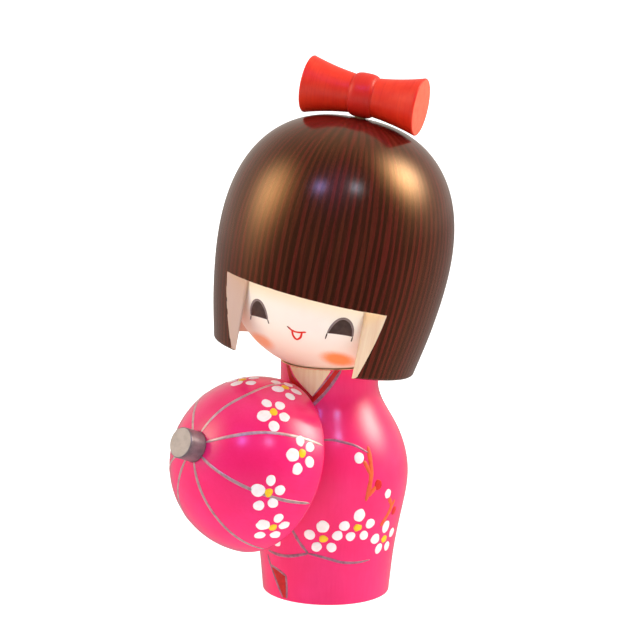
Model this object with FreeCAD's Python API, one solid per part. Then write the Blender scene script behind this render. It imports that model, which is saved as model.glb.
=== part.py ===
import FreeCAD, Part
import math
import os

# Kokeshi doll with a parasol: a turned and painted wooden doll, about 149 mm tall.
# Millimetres. The origin is the centre of the foot on the table, +Z is up,
# the doll's chest faces -Y and its right hand is on the -X side.
#
# The head (face block, hair bell, bow) is one stack of turned pieces. It leans to
# one side and turns about the neck dowel. The parasol is a turned bowl held in
# front of the belly by its own handle, which is glued into the body.

Vector = FreeCAD.Vector
UP = Vector(0, 0, 1)
ORIGIN = Vector(0, 0, 0)

# --- Body: radii, and how far each stands above the one before it -----------------
FOOT_RADIUS = 17.7
FOOT_CHAMFER = 0.4
HEM_RADIUS = 18.9
HEM_RISE = 12.0
HIP_RADIUS = 21.0
HIP_RISE = 12.0
BELLY_RADIUS = 22.35
BELLY_RISE = 9.8
SHOULDER_RADIUS = 18.5
SHOULDER_RISE = 14.2
COLLAR_RADIUS = 13.55
COLLAR_RISE = 11.5
COLLAR_LENGTH = 5.8         # straight collar, up to the dish under the chin
DISH_DEPTH = 3.1            # collar top down to the bottom of the dish

# --- Neck dowel: glued in the body; the head turns on it ---------------------------
DOWEL_RADIUS = 4.0
DOWEL_IN_BODY = 16.0
DOWEL_IN_HEAD = 15.0
DOWEL_CHAMFER = 0.5
RUNNING_CLEARANCE = 0.05    # head bore over dowel, on the radius
DOWEL_END_GAP = 0.4         # the head's blind bore is this much deeper
SEAT_CLEARANCE = 0.3        # chin above the dish, at every turn of the head

# --- Head stack: heights are along its own axis, from the pivot --------------------
HEAD_LEAN = 10.2            # degrees from upright
LEAN_BEARING = 32.4         # degrees from +X towards +Y, the way the crown leans
HEAD_TURN = 6.5             # degrees the face looks towards the doll's left
CHEEK_HEIGHT = -5.0         # top of the rounded cheeks and chin
CHIN_DEPTH = 24.9           # cheeks down to the lowest point of the chin
FACE_CLEARANCE = 0.1        # face block in the hair bore, on the radius
FACE_BEVEL = 1.0

HAIR_RADIUS = 32.2          # widest
HAIR_WIDEST = 3.5
CROWN_TOP = 40.5
CROWN_SQUARENESS = 2.4      # superellipse power of the crown, 2 is an ellipse
HAIR_RIM_RADIUS = 27.9
HAIR_RIM = -26.3
SKIRT_POWER = 1.6           # how the bell draws in below its widest point
HAIR_RIM_ROUND = 1.2
HAIR_BORE_RADIUS = 27.2     # the hollow that takes the face block
HAIR_BORE_TOP = 12.0
FACE_CUT = 21.7             # the flat sawn front, in front of the axis
FRINGE_HEIGHT = -6.8        # lower edge of the fringe, at the middle of the face
FRINGE_SLOPE = 2.6          # degrees, the doll's left end lower

# --- Bow: one turned spool lying across the crown, on a peg ------------------------
BOW_LENGTH = 32.6
BOW_END_RADIUS = 7.9
BOW_WAIST_RADIUS = 5.35
BOW_KNOT_RADIUS = 6.15
BOW_KNOT_WIDTH = 6.2
KNOT_FULLNESS = 0.72        # how far out the knot's rounding stays, 0.71 is a quarter ellipse
BOW_HOLLOW = 0.3            # how far each cone's side is hollowed
BOW_EDGE = 0.4
BOW_TURN = 3.0              # degrees the bow's left end is turned towards the face
BOW_SEAT_GAP = 0.1          # glue line between knot and crown
PEG_RADIUS = 1.5
PEG_IN_BOW = 7.5
PEG_IN_CROWN = 9.0
PEG_CHAMFER = 0.3

# --- Parasol: a turned bowl on a handle --------------------------------------------
PARASOL_RADIUS = 24.1
PARASOL_SKIRT = 1.1         # the bowl runs on past its widest by this much
PARASOL_WALL = 3.0
PARASOL_EDGE = 0.5
HUB_RADIUS = 6.5            # boss inside the bowl, round the handle
HUB_DEPTH = 4.5             # how far the boss stands in from the bowl's inside
PARASOL_TOP = 62.9          # highest point of the bowl, which the turning head clears
PARASOL_BEARING = 31.0      # ball centre, degrees from the front to the right hand
PARASOL_YAW = 26.5          # handle, degrees from the front to the right hand
PARASOL_PITCH = 20.6        # handle, degrees above level
RIM_CLEARANCE = 1.34        # least gap between the bowl and the robe
HANDLE_RADIUS = 2.5
HANDLE_IN_BODY = 9.0
HANDLE_CHAMFER = 0.4
FERRULE_RADIUS = 4.2
FERRULE_PROUD = 5.0         # above the bowl's top
FERRULE_SEAT = 0.8          # foot let into a flat-bottomed recess
FERRULE_CLEARANCE = 0.05    # ferrule foot in its recess, on the radius
FERRULE_EDGE = 0.35
HANDLE_IN_FERRULE = 3.4

HALVINGS = 18               # steps of the search for the place that leaves that gap

# --- Heights and places that follow ------------------------------------------------
HEM_HEIGHT = HEM_RISE
HIP_HEIGHT = HEM_HEIGHT + HIP_RISE
BELLY_HEIGHT = HIP_HEIGHT + BELLY_RISE
SHOULDER_HEIGHT = BELLY_HEIGHT + SHOULDER_RISE
COLLAR_HEIGHT = SHOULDER_HEIGHT + COLLAR_RISE
BODY_TOP = COLLAR_HEIGHT + COLLAR_LENGTH
DISH_BOTTOM = BODY_TOP - DISH_DEPTH
DOWEL_LOW = DISH_BOTTOM - DOWEL_IN_BODY
DOWEL_HIGH = DISH_BOTTOM + DOWEL_IN_HEAD
FACE_RADIUS = HAIR_BORE_RADIUS - FACE_CLEARANCE
BOW_HEIGHT = CROWN_TOP + BOW_SEAT_GAP + BOW_KNOT_RADIUS
PARASOL_HEIGHT = PARASOL_TOP - PARASOL_RADIUS


def at(radius, height):
    """A point of a turning profile, in the XZ plane."""
    return Vector(radius, 0, height)


def line(start, end):
    return Part.LineSegment(start, end).toShape()


def curve(points, start_tangent, end_tangent):
    """A smooth curve through the points, leaving and arriving along the tangents."""
    spline = Part.BSplineCurve()
    spline.interpolate(Points=points, InitialTangent=start_tangent, FinalTangent=end_tangent)
    return spline.toShape()


def turned(edges):
    """Revolve a closed profile about the Z axis."""
    face = Part.Face(Part.Wire(edges))
    return face.revolve(ORIGIN, UP, 360)


def rod(radius, low, high, chamfer=0.0):
    """A dowel along Z."""
    shape = Part.makeCylinder(radius, high - low, at(0, low))
    if chamfer:
        rims = [edge for edge in shape.Edges if edge.isClosed()]
        shape = shape.makeChamfer(chamfer, rims)
    return shape


# --- Body --------------------------------------------------------------------------
def robe_outline():
    """The robe from the foot to the straight collar."""
    points = [at(FOOT_RADIUS, FOOT_CHAMFER),
              at(HEM_RADIUS, HEM_HEIGHT),
              at(HIP_RADIUS, HIP_HEIGHT),
              at(BELLY_RADIUS, BELLY_HEIGHT),
              at(SHOULDER_RADIUS, SHOULDER_HEIGHT),
              at(COLLAR_RADIUS, COLLAR_HEIGHT)]
    return curve(points, at(0.1, 1), UP)


def chin_below_pivot(reach):
    """How far below the pivot the leaning chin is, at a distance along the lean."""
    lean = math.radians(HEAD_LEAN)
    sine, cosine = math.sin(lean), math.cos(lean)
    across = reach - CHEEK_HEIGHT * sine
    wide, deep = FACE_RADIUS ** 2, CHIN_DEPTH ** 2
    square = sine ** 2 / wide + cosine ** 2 / deep
    mixed = across * sine * cosine * (1 / deep - 1 / wide)
    rest = across ** 2 * (cosine ** 2 / wide + sine ** 2 / deep) - 1
    root = (-mixed - math.sqrt(mixed ** 2 - square * rest)) / square
    return -(CHEEK_HEIGHT * cosine + root)


def dish_drop(radius):
    """Depth below the pivot of the dish that clears the chin at every turn."""
    return max(chin_below_pivot(radius), chin_below_pivot(-radius)) + SEAT_CLEARANCE


PIVOT_HEIGHT = DISH_BOTTOM + dish_drop(0)


def neck_dish():
    """The hollow in the collar's top that the chin sits over."""
    steps = [0, 0.33, 0.67, 1]
    rim = at(COLLAR_RADIUS, PIVOT_HEIGHT - dish_drop(COLLAR_RADIUS))
    points = [at(COLLAR_RADIUS * step, PIVOT_HEIGHT - dish_drop(COLLAR_RADIUS * step))
              for step in steps]
    slope = points[-1] - points[-2]
    ceiling = rim.z + 1
    return turned([curve(points, Vector(1, 0, 0), slope.normalize()),
                   line(rim, at(COLLAR_RADIUS, ceiling)),
                   line(at(COLLAR_RADIUS, ceiling), at(0, ceiling)),
                   line(at(0, ceiling), points[0])])


def robe_solid():
    """The turned body before anything is drilled into it."""
    foot = at(FOOT_RADIUS - FOOT_CHAMFER, 0)
    collar_foot = at(COLLAR_RADIUS, COLLAR_HEIGHT)
    collar_top = at(COLLAR_RADIUS, BODY_TOP)
    return turned([line(ORIGIN, foot),
                   line(foot, at(FOOT_RADIUS, FOOT_CHAMFER)),
                   robe_outline(),
                   line(collar_foot, collar_top),
                   line(collar_top, at(0, BODY_TOP)),
                   line(at(0, BODY_TOP), ORIGIN)])


def make_neck_dowel():
    return rod(DOWEL_RADIUS, DOWEL_LOW, DOWEL_HIGH, DOWEL_CHAMFER)


# --- Head --------------------------------------------------------------------------
def place_head(shape):
    """Stand a piece of the head stack on the leaning head axis."""
    bearing = math.radians(LEAN_BEARING)
    hinge = Vector(-math.sin(bearing), math.cos(bearing), 0)
    lean = FreeCAD.Rotation(hinge, HEAD_LEAN)
    turn = FreeCAD.Rotation(UP, HEAD_TURN)
    shape.Placement = FreeCAD.Placement(at(0, PIVOT_HEIGHT), lean.multiply(turn))
    return shape


def make_face_block():
    """The round-chinned block that carries the painted face."""
    chin = at(0, CHEEK_HEIGHT - CHIN_DEPTH)
    cheek = at(FACE_RADIUS, CHEEK_HEIGHT)
    bevel = at(FACE_RADIUS, HAIR_BORE_TOP - FACE_BEVEL)
    top = at(FACE_RADIUS - FACE_BEVEL, HAIR_BORE_TOP)
    angles = [math.radians(step) for step in (0, 22.5, 45, 67.5, 90)]
    rounding = [at(FACE_RADIUS * math.sin(angle), CHEEK_HEIGHT - CHIN_DEPTH * math.cos(angle))
                for angle in angles]
    block = turned([curve(rounding, Vector(1, 0, 0), UP),
                    line(cheek, bevel),
                    line(bevel, top),
                    line(top, at(0, HAIR_BORE_TOP)),
                    line(at(0, HAIR_BORE_TOP), chin)])
    bore = rod(DOWEL_RADIUS + RUNNING_CLEARANCE, DISH_BOTTOM, DOWEL_HIGH + DOWEL_END_GAP)
    return place_head(block).cut(bore)


def hair_outline():
    """The bell from its rim over the widest point to the middle of the crown."""
    points = []
    for share in (1, 0.67, 0.33):
        drawn_in = (HAIR_RADIUS - HAIR_RIM_RADIUS) * share ** SKIRT_POWER
        height = HAIR_WIDEST + (HAIR_RIM - HAIR_WIDEST) * share
        points.append(at(HAIR_RADIUS - drawn_in, height))
    rise = CROWN_TOP - HAIR_WIDEST
    power = 2 / CROWN_SQUARENESS
    for degrees in (0, 15, 30, 45, 60, 75):
        angle = math.radians(degrees)
        points.append(at(HAIR_RADIUS * math.cos(angle) ** power,
                         HAIR_WIDEST + rise * math.sin(angle) ** power))
    points.append(at(0, CROWN_TOP))
    slope = points[1] - points[0]
    return curve(points, slope.normalize(), Vector(-1, 0, 0))


def face_opening():
    """The block of air sawn out of the bell's front, below the fringe."""
    reach = 2 * HAIR_RADIUS
    box = Part.makeBox(2 * reach, reach, reach, Vector(-reach, -FACE_CUT - reach, -reach))
    box.rotate(ORIGIN, Vector(0, 1, 0), FRINGE_SLOPE)
    box.translate(at(0, FRINGE_HEIGHT))
    return box


def make_hair(peg):
    rim = at(HAIR_RIM_RADIUS, HAIR_RIM)
    bell = turned([hair_outline(),
                   line(at(0, CROWN_TOP), at(0, HAIR_RIM)),
                   line(at(0, HAIR_RIM), rim)])
    lips = [edge for edge in bell.Edges
            if edge.isClosed() and abs(edge.BoundBox.ZMax - HAIR_RIM) < 0.001]
    bell = bell.makeFillet(HAIR_RIM_ROUND, lips)
    bell = bell.cut(rod(HAIR_BORE_RADIUS, HAIR_RIM - 1, HAIR_BORE_TOP))
    bell = bell.cut(face_opening())
    return place_head(bell.cut(peg))


# --- Bow ---------------------------------------------------------------------------
def bow_side():
    """Half of the spool's outline: from the middle of the knot out to the end face."""
    half_knot = BOW_KNOT_WIDTH / 2
    half_bow = BOW_LENGTH / 2
    knot_rise = (BOW_KNOT_RADIUS - BOW_WAIST_RADIUS) * KNOT_FULLNESS
    bulge = Part.Arc(at(BOW_KNOT_RADIUS, 0),
                     at(BOW_WAIST_RADIUS + knot_rise, half_knot * KNOT_FULLNESS),
                     at(BOW_WAIST_RADIUS, half_knot)).toShape()
    end = at(BOW_END_RADIUS, half_bow - BOW_EDGE)
    middle = at((BOW_WAIST_RADIUS + BOW_END_RADIUS) / 2 - BOW_HOLLOW, (half_knot + end.z) / 2)
    cone = Part.Arc(at(BOW_WAIST_RADIUS, half_knot), middle, end).toShape()
    face_edge = at(BOW_END_RADIUS - BOW_EDGE, half_bow)
    return [bulge, cone, line(end, face_edge),
            line(face_edge, at(0, half_bow)), line(at(0, half_bow), ORIGIN),
            line(ORIGIN, at(BOW_KNOT_RADIUS, 0))]


def make_bow(peg):
    half = turned(bow_side())
    bow = half.fuse(half.mirror(ORIGIN, UP)).removeSplitter()
    bow.rotate(ORIGIN, Vector(0, 1, 0), 90)
    bow.rotate(ORIGIN, UP, -BOW_TURN)
    bow.translate(at(0, BOW_HEIGHT))
    return place_head(bow.cut(peg))


def bow_peg():
    low = CROWN_TOP - PEG_IN_CROWN
    high = BOW_HEIGHT - BOW_KNOT_RADIUS + PEG_IN_BOW
    return rod(PEG_RADIUS, low, high, PEG_CHAMFER)


# --- Parasol: turned about Z with the ball's centre at the origin ------------------
def bearing_vector(bearing, pitch=0.0):
    """A unit vector that many degrees from the front to the right hand, and up."""
    turn, rise = math.radians(bearing), math.radians(pitch)
    level = math.cos(rise)
    return Vector(-level * math.sin(turn), -level * math.cos(turn), math.sin(rise))


def parasol_reach(bowl, robe):
    """Distance of the ball's centre from the body's axis that leaves the bowl its gap."""
    near, far = 0.0, BELLY_RADIUS + 2 * PARASOL_RADIUS
    for _ in range(HALVINGS):
        middle = (near + far) / 2
        if place_parasol(bowl, middle).distToShape(robe)[0] < RIM_CLEARANCE:
            near = middle
        else:
            far = middle
    return far


def place_parasol(shape, reach):
    """Move a piece onto the handle's line, its top away from the body."""
    centre = bearing_vector(PARASOL_BEARING) * reach + at(0, PARASOL_HEIGHT)
    facing = FreeCAD.Rotation(UP, bearing_vector(PARASOL_YAW, PARASOL_PITCH))
    placed = shape.copy()
    placed.Placement = FreeCAD.Placement(centre, facing)
    return placed


def parasol_handle(reach):
    """The dowel from inside the body, through the bowl, into the ferrule."""
    offset = math.radians(PARASOL_BEARING - PARASOL_YAW)
    level = math.cos(math.radians(PARASOL_PITCH))
    to_axis = reach * math.cos(offset) / level
    low = -(to_axis - BELLY_RADIUS / level + HANDLE_IN_BODY)
    high = PARASOL_RADIUS - FERRULE_SEAT + HANDLE_IN_FERRULE
    return rod(HANDLE_RADIUS, low, high, HANDLE_CHAMFER)


def parasol_bowl():
    rim = -PARASOL_SKIRT
    bowl = Part.makeSphere(PARASOL_RADIUS)
    bowl = bowl.cut(Part.makeSphere(PARASOL_RADIUS - PARASOL_WALL))
    boss_foot = PARASOL_RADIUS - PARASOL_WALL - HUB_DEPTH
    boss = rod(HUB_RADIUS, boss_foot, PARASOL_RADIUS - PARASOL_WALL / 2)
    bowl = bowl.fuse(boss).removeSplitter()
    reach = 2 * PARASOL_RADIUS
    bowl = bowl.cut(rod(reach, -reach, rim))
    lips = [edge for edge in bowl.Edges
            if edge.isClosed() and abs(edge.BoundBox.ZMax - rim) < 0.001]
    bowl = bowl.makeFillet(PARASOL_EDGE, lips)
    recess = rod(FERRULE_RADIUS + FERRULE_CLEARANCE, PARASOL_RADIUS - FERRULE_SEAT, reach)
    return bowl.cut(recess)


def parasol_ferrule(handle):
    foot = PARASOL_RADIUS - FERRULE_SEAT
    tip = PARASOL_RADIUS + FERRULE_PROUD
    ferrule = rod(FERRULE_RADIUS, foot, tip)
    outer = [edge for edge in ferrule.Edges
             if edge.isClosed() and abs(edge.BoundBox.ZMin - tip) < 0.001]
    return ferrule.makeFillet(FERRULE_EDGE, outer).cut(handle)


def build():
    """Every separate piece of the doll, by name."""
    robe = robe_solid()
    bowl = parasol_bowl()
    reach = parasol_reach(bowl, robe)
    handle = parasol_handle(reach)
    placed_handle = place_parasol(handle, reach)
    dowel = make_neck_dowel()
    peg = bow_peg()
    return {"body": robe.cut(neck_dish()).cut(dowel).cut(placed_handle),
            "neck_dowel": dowel,
            "face_block": make_face_block(),
            "hair_bell": make_hair(peg),
            "bow": make_bow(peg),
            "bow_peg": place_head(peg.copy()),
            "parasol_canopy": place_parasol(bowl.cut(handle), reach),
            "parasol_ferrule": place_parasol(parasol_ferrule(handle), reach),
            "parasol_handle": placed_handle}


os.makedirs("parts", exist_ok=True)
for name, shape in build().items():
    shape.exportStep("parts/" + name + ".step")
    size = shape.BoundBox
    print(name, "solids", len(shape.Solids), "valid", shape.isValid(), "volume", round(shape.Volume),
          "z", round(size.ZMin, 2), round(size.ZMax, 2))
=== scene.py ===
import math
import random

import bmesh
import bpy
import numpy as np
from mathutils import Matrix, Vector


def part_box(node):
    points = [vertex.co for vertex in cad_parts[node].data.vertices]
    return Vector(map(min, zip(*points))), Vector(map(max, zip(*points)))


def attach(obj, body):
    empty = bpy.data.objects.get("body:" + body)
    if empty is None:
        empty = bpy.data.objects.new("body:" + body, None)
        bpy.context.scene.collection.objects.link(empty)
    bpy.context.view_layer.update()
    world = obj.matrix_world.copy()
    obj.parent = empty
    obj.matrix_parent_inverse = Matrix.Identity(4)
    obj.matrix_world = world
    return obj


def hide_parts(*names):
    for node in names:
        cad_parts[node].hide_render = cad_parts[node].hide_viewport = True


# A kokeshi doll with a parasol, turned from wood, lacquered and painted by hand.
# Shapes are given in millimetres in each piece's own turning frame, and MM turns
# them into metres. The doll stands on z = 0 and its chest faces -Y.

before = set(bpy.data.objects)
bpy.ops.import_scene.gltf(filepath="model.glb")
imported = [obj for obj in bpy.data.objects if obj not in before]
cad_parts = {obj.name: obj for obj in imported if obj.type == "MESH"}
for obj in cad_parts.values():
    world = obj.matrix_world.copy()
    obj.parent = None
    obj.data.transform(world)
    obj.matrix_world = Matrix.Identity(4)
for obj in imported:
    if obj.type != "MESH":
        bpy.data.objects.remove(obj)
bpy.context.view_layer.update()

MM = 0.001
PAINT_ROOT = 0.03  # how far a dab's or stroke's edge goes into the lacquer
OWN_PLACE = "own_place"  # each vertex's millimetres in its piece's turning frame

# --- Turned shapes, as the doll was designed ---
FOOT_RADIUS = 17.7
FOOT_ROUND = 0.4
COLLAR_RADIUS = 13.55
ROBE_OUTLINE = [(FOOT_RADIUS, FOOT_ROUND), (18.9, 12.0), (21.0, 24.0), (22.35, 33.8), (18.5, 48.0),
                (COLLAR_RADIUS, 59.5)]
BODY_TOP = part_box("body")[1].z / MM
DISH_DEPTH = 3.1
LIP_BARE = 0.16  # the collar's lip and the dish are left bare
FOOT_BARE = 0.05
END_FACE = 0.02  # a face whose middle is this near an end belongs to the end
SEAT_CLEARANCE = 0.3

HEAD_LEAN = 10.2
LEAN_BEARING = 32.4
HEAD_TURN = 6.5
CHEEK_HEIGHT = -5.0
CHIN_DEPTH = 24.9
FACE_RADIUS = 27.1
FACE_TOP = 12.0
FACE_BEVEL = 1.0

HAIR_RADIUS = 32.2
HAIR_WIDEST = 3.5
CROWN_TOP = 40.5
CROWN_SQUARENESS = 2.4
HAIR_RIM_RADIUS = 27.9
HAIR_RIM = -26.3
SKIRT_POWER = 1.6
HAIR_RIM_ROUND = 1.2
HAIR_BORE_RADIUS = 27.2
HAIR_BORE_TOP = 12.0
FACE_CUT = 21.7
FRINGE_HEIGHT = -6.8
FRINGE_SLOPE = 2.6
SAWN_EDGE = 0.22  # worn rounding of the sawn edges

BOW_LENGTH = 32.6
BOW_TURN = 3.0
BOW_END_RADIUS = 7.9
BOW_WAIST_RADIUS = 5.35
BOW_KNOT_RADIUS = 6.15
BOW_KNOT_WIDTH = 6.2
BOW_HOLLOW = 0.3
BOW_EDGE = 0.4
BOW_VALLEY = 0.18  # narrow groove on each side of the knot
KNOT_SQUARENESS = 3.0  # how flat the knot's middle is, with its shoulders rounded
BOW_HEIGHT = CROWN_TOP + 0.1 + BOW_KNOT_RADIUS

PARASOL_RADIUS = 24.1
PARASOL_SKIRT = 1.1
PARASOL_WALL = 3.0
PARASOL_EDGE = 0.5
PARASOL_BARE = 1.5  # the inside is bare wood above this height
HUB_RADIUS = 6.5
HUB_DEPTH = 4.5
HUB_ROUND = 0.5
PARASOL_YAW = 26.5
PARASOL_PITCH = 20.6
FERRULE_RADIUS = 4.2
FERRULE_PROUD = 5.0
FERRULE_SEAT = 0.8
FERRULE_EDGE = 0.35

# --- Camera and lights: bearings are from the camera, positive to its right ---
CAMERA_BEARING = 21.0
CAMERA_DISTANCE = 650.0
CAMERA_HEIGHT = 197.34
CAMERA_SIDE = -2.892
CAMERA_PITCH = 10.541
CAMERA_ROLL = 0.992
CAMERA_LENS = 134.8


# --- Frames the pieces are turned in ---
def head_frame():
    """The leaning head's own frame: its pivot on the body's axis, Z up through the crown."""
    bearing = math.radians(LEAN_BEARING)
    hinge = Vector((-math.sin(bearing), math.cos(bearing), 0))
    lean = Matrix.Rotation(math.radians(HEAD_LEAN), 4, hinge)
    facing = lean @ Matrix.Rotation(math.radians(HEAD_TURN), 4, "Z")
    axis = facing.col[2].xyz
    crown = max(axis.dot(vertex.co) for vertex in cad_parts["hair_bell"].data.vertices)
    pivot = (crown - CROWN_TOP * MM) / axis.z
    return Matrix.Translation((0, 0, pivot)) @ facing


def parasol_frame():
    """The parasol's own frame: the ball's centre, Z out through the ferrule."""
    yaw, pitch = math.radians(PARASOL_YAW), math.radians(PARASOL_PITCH)
    level = math.cos(pitch)
    out = Vector((-level * math.sin(yaw), -level * math.cos(yaw), math.sin(pitch)))
    side = Vector((0, 0, 1)).cross(out).normalized()
    low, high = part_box("parasol_canopy")
    radius = PARASOL_RADIUS * MM
    centre = Vector((low.x + radius, low.y + radius, high.z - radius))
    columns = Matrix((side, out.cross(side), out)).transposed().to_4x4()
    return Matrix.Translation(centre) @ columns


DOLL = Matrix.Identity(4)
HEAD = head_frame()
PARASOL = parasol_frame()
BOW = (HEAD @ Matrix.Translation((0, 0, BOW_HEIGHT * MM))
       @ Matrix.Rotation(-math.radians(BOW_TURN), 4, "Z") @ Matrix.Rotation(math.pi / 2, 4, "Y"))


# --- Outlines ---
def spline(points, start, end, steps=24):
    """Points along the smooth curve that passes the points and leaves them as told."""
    points = np.array(points, float)
    chords = np.hypot(*np.diff(points, axis=0).T)
    count = len(points)
    system = np.eye(count)
    wanted = np.zeros((count, 2))
    wanted[0] = np.array(start) / np.hypot(*start)
    wanted[-1] = np.array(end) / np.hypot(*end)
    for i in range(1, count - 1):
        before, after = chords[i - 1], chords[i]
        system[i, i - 1:i + 2] = after, 2 * (before + after), before
        wanted[i] = 3 * (after * (points[i] - points[i - 1]) / before
                         + before * (points[i + 1] - points[i]) / after)
    slopes = np.linalg.solve(system, wanted)
    curve = []
    for i, chord in enumerate(chords):
        for t in np.arange(steps) / steps:
            curve.append((2 * t**3 - 3 * t**2 + 1) * points[i] + (t**3 - 2 * t**2 + t) * chord * slopes[i]
                         + (3 * t**2 - 2 * t**3) * points[i + 1] + (t**3 - t**2) * chord * slopes[i + 1])
    curve.append(points[-1])
    return [tuple(point) for point in curve]


def arc(centre, radius, start, end, steps=6):
    """Points of an arc, angles in degrees from +radius towards +height."""
    angles = np.radians(np.linspace(start, end, steps + 1))
    return [(centre[0] + radius * math.cos(a), centre[1] + radius * math.sin(a)) for a in angles]


def robe_outline():
    return spline(ROBE_OUTLINE, (0.1, 1), (0, 1))


def dish_outline():
    """The hollow under the chin, from its rim to the middle: clear of the leaning chin."""
    angle = np.radians(np.arange(-90, 91))
    across, up = FACE_RADIUS * np.sin(angle), CHEEK_HEIGHT - CHIN_DEPTH * np.cos(angle)
    lean = math.radians(HEAD_LEAN)
    reach = across * math.cos(lean) + up * math.sin(lean)
    height = -across * math.sin(lean) + up * math.cos(lean)
    order = np.argsort(reach)

    def chin(radius):
        both = np.interp([radius, -radius], reach[order], height[order])
        return min(both) - SEAT_CLEARANCE

    bottom = BODY_TOP - DISH_DEPTH
    radii = [COLLAR_RADIUS * (1 - step / 32) for step in range(33)]
    points = [(radius, bottom + chin(radius) - chin(0)) for radius in radii]
    return [point for point in points if point[1] < BODY_TOP]


def body_outline():
    foot = arc((FOOT_RADIUS - FOOT_ROUND, FOOT_ROUND), FOOT_ROUND, -90, 0)
    dish = dish_outline()
    rim = [(COLLAR_RADIUS, BODY_TOP - 0.15), (COLLAR_RADIUS - 0.05, BODY_TOP - 0.05)]
    return [(0, 0)] + foot[:-1] + robe_outline() + rim + dish


def face_outline():
    chin = [(FACE_RADIUS * math.sin(a), CHEEK_HEIGHT - CHIN_DEPTH * math.cos(a))
            for a in np.linspace(0, math.pi / 2, 49)]
    wall = [(FACE_RADIUS, height) for height in np.linspace(CHEEK_HEIGHT + 1, FACE_TOP - FACE_BEVEL, 12)]
    return chin + wall + [(FACE_RADIUS - FACE_BEVEL, FACE_TOP), (0, FACE_TOP)]


def bell_side():
    """The bell's outside from the rim up to the middle of the crown."""
    points = []
    for share in (1, 0.67, 0.33):
        drawn_in = (HAIR_RADIUS - HAIR_RIM_RADIUS) * share ** SKIRT_POWER
        points.append((HAIR_RADIUS - drawn_in, HAIR_WIDEST + (HAIR_RIM - HAIR_WIDEST) * share))
    power = 2 / CROWN_SQUARENESS
    for degrees in (0, 15, 30, 45, 60, 75):
        a = math.radians(degrees)
        points.append((HAIR_RADIUS * math.cos(a) ** power,
                       HAIR_WIDEST + (CROWN_TOP - HAIR_WIDEST) * math.sin(a) ** power))
    points.append((0, CROWN_TOP))
    slope = (points[1][0] - points[0][0], points[1][1] - points[0][1])
    side = spline(points, slope, (-1, 0), steps=60)
    # The lower lip is rounded, and the bore leaves only the outer part of the rounding.
    lip_centre = (np.interp(HAIR_RIM + HAIR_RIM_ROUND, [h for _, h in side[:60]],
                            [r for r, _ in side[:60]]) - HAIR_RIM_ROUND, HAIR_RIM + HAIR_RIM_ROUND)
    lip = [point for point in arc(lip_centre, HAIR_RIM_ROUND, -90, 0, 24) if point[0] > HAIR_BORE_RADIUS]
    inside = HAIR_BORE_RADIUS - lip_centre[0]
    start = (HAIR_BORE_RADIUS, lip_centre[1] - math.sqrt(HAIR_RIM_ROUND**2 - inside**2))
    return [start] + lip + [point for point in side if point[1] > lip_centre[1] + 0.05]


def bow_outline():
    """The spool from one end face to the other, along its own axis."""
    half, knot = BOW_LENGTH / 2, BOW_KNOT_WIDTH / 2
    corner = arc((BOW_END_RADIUS - BOW_EDGE, half - BOW_EDGE), BOW_EDGE, 90, 5, 5)
    end, waist = corner[-1], (BOW_WAIST_RADIUS, knot)
    cone = []
    for t in np.linspace(0, 1, 22)[1:]:
        sag = BOW_HOLLOW * 4 * t * (1 - t)
        cone.append((end[0] + (waist[0] - end[0]) * t - sag, end[1] + (waist[1] - end[1]) * t))
    cone[-1] = (BOW_WAIST_RADIUS - BOW_VALLEY, knot + 0.08)
    bulge = [(BOW_WAIST_RADIUS + (BOW_KNOT_RADIUS - BOW_WAIST_RADIUS) * (1 - t**KNOT_SQUARENESS) ** 0.6,
              knot * t) for t in np.sin(np.linspace(math.pi / 2, 0, 18)[1:])]
    side = [(0, half), (4.0, half)] + corner + cone + bulge
    return side + [(radius, -height) for radius, height in reversed(side[:-1])]


def bowl_outline():
    """The parasol's bowl: over the outside, round the rim and up the inside to the hub."""
    inner = PARASOL_RADIUS - PARASOL_WALL
    seat = PARASOL_RADIUS - FERRULE_SEAT
    first = math.acos(FERRULE_RADIUS / PARASOL_RADIUS)
    rim_angle = math.asin((PARASOL_SKIRT - PARASOL_EDGE) / PARASOL_RADIUS)
    outside = [(PARASOL_RADIUS * math.cos(a), PARASOL_RADIUS * math.sin(a))
               for a in np.linspace(first, -rim_angle, 96)]
    rim_out = math.sqrt(PARASOL_RADIUS**2 - PARASOL_SKIRT**2)
    rim_in = math.sqrt(inner**2 - PARASOL_SKIRT**2)
    height = PARASOL_EDGE - PARASOL_SKIRT
    edge = arc((rim_out - PARASOL_EDGE, height), PARASOL_EDGE, 0, -90)
    edge += arc((rim_in + PARASOL_EDGE, height), PARASOL_EDGE, -90, -180)
    boss_foot = inner - HUB_DEPTH
    last = math.acos(HUB_RADIUS / inner)
    inside = [(inner * math.cos(a), inner * math.sin(a)) for a in np.linspace(0, last - 0.02, 48)]
    boss = arc((HUB_RADIUS - HUB_ROUND, boss_foot + HUB_ROUND), HUB_ROUND, 0, -90, 4)
    return [(0, seat), (FERRULE_RADIUS, seat)] + outside + edge + inside + boss + [(0, boss_foot)]


def ferrule_outline():
    foot, tip = PARASOL_RADIUS - FERRULE_SEAT, PARASOL_RADIUS + FERRULE_PROUD
    edge = arc((FERRULE_RADIUS - FERRULE_EDGE, tip - FERRULE_EDGE), FERRULE_EDGE, 0, 90)
    sides = [(FERRULE_RADIUS, height) for height in np.linspace(foot + 0.05, tip - FERRULE_EDGE, 8)[:-1]]
    return [(0, foot), (FERRULE_RADIUS - 0.05, foot)] + sides + edge + [(2.5, tip), (0, tip)]


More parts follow.
